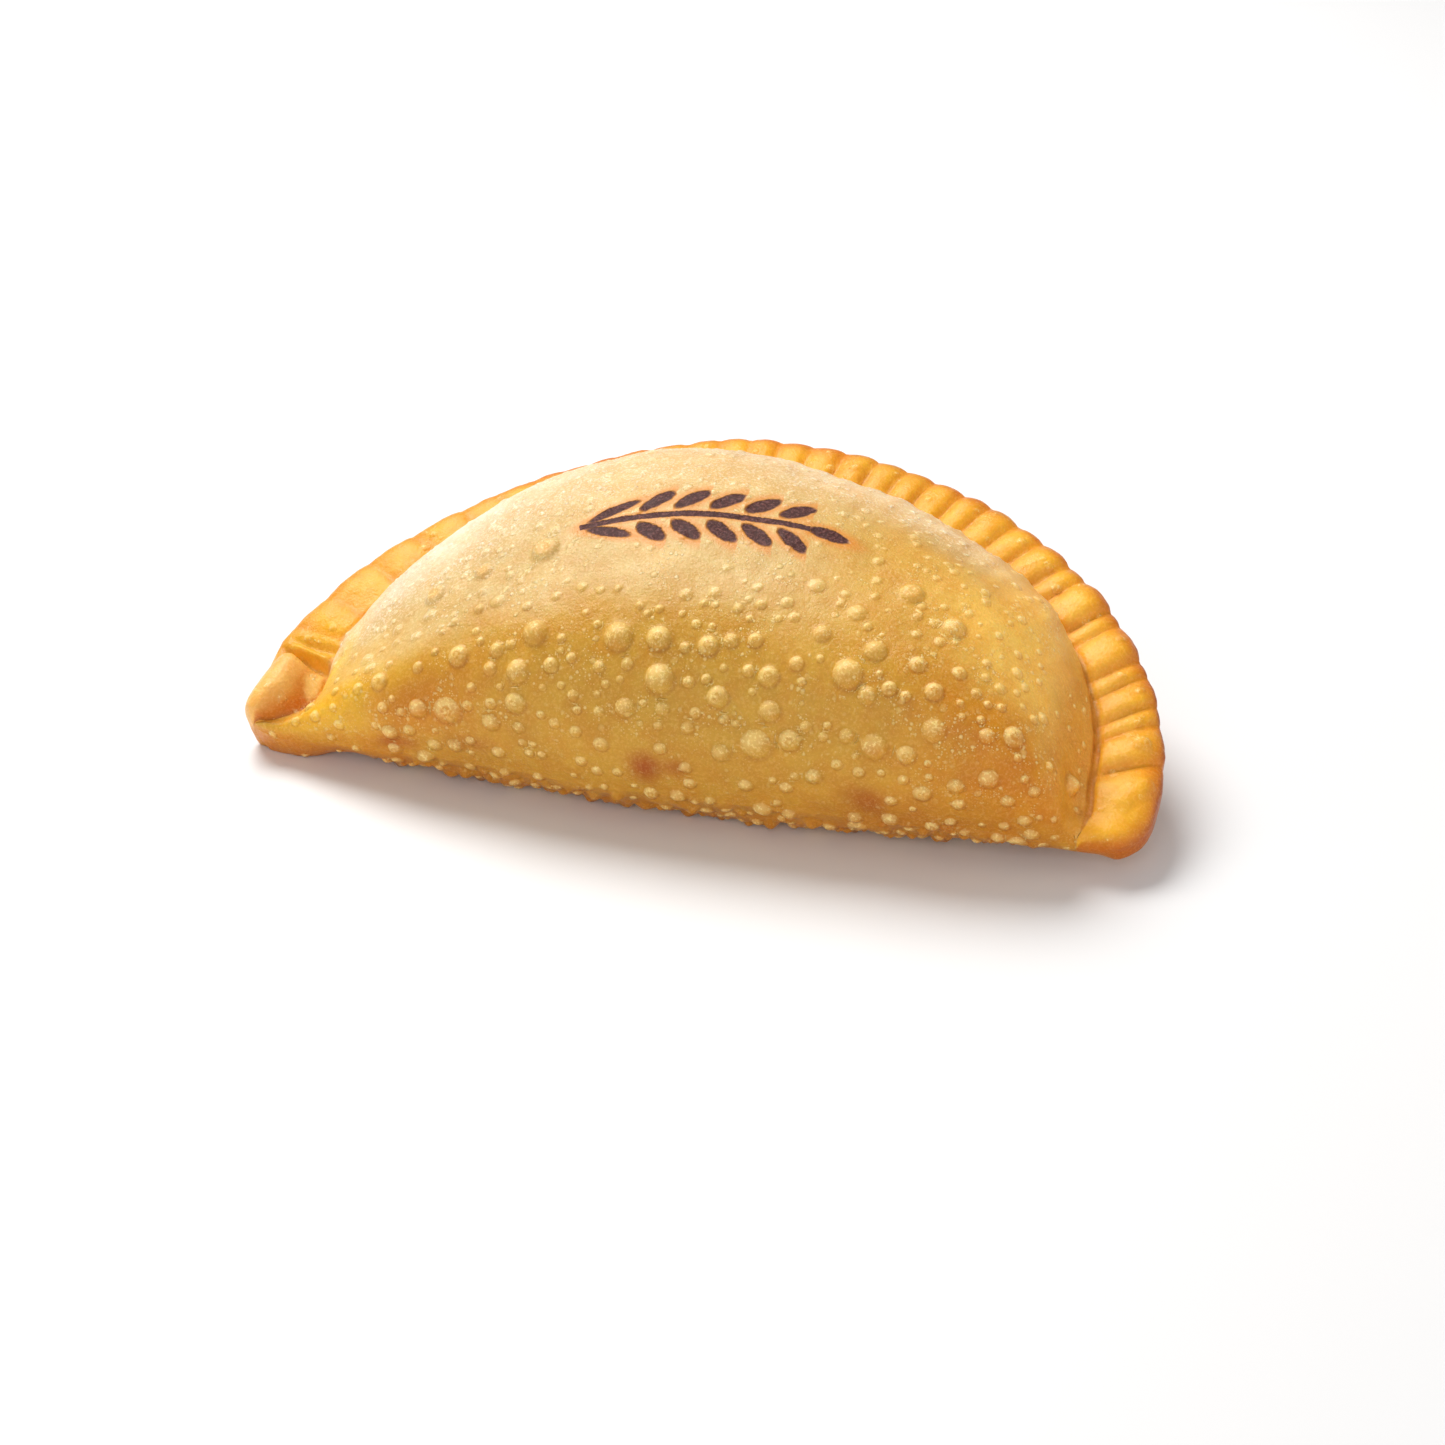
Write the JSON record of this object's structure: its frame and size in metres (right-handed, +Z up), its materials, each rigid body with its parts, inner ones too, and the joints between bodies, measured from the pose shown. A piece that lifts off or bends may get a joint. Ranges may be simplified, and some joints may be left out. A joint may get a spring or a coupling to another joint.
{
  "type": "empanada",
  "caption": "Half-moon fried pastry, folded over its filling and pressed shut along a pleated rim, with a blistered golden crust.",
  "frame": {"origin": "on the table plane, below the middle of the bounding box", "axes": "+X along the length from one tip to the other, +Y from the folded front to the pleated rim at the back, +Z up"},
  "size_m": [0.127, 0.067, 0.0382],
  "materials": {
    "crust": "fried dough, golden with browner edges and spots, thinly oiled, bubbled"
  },
  "bodies": {
    "root": {"crust": "crust"}
  },
  "joints": []
}
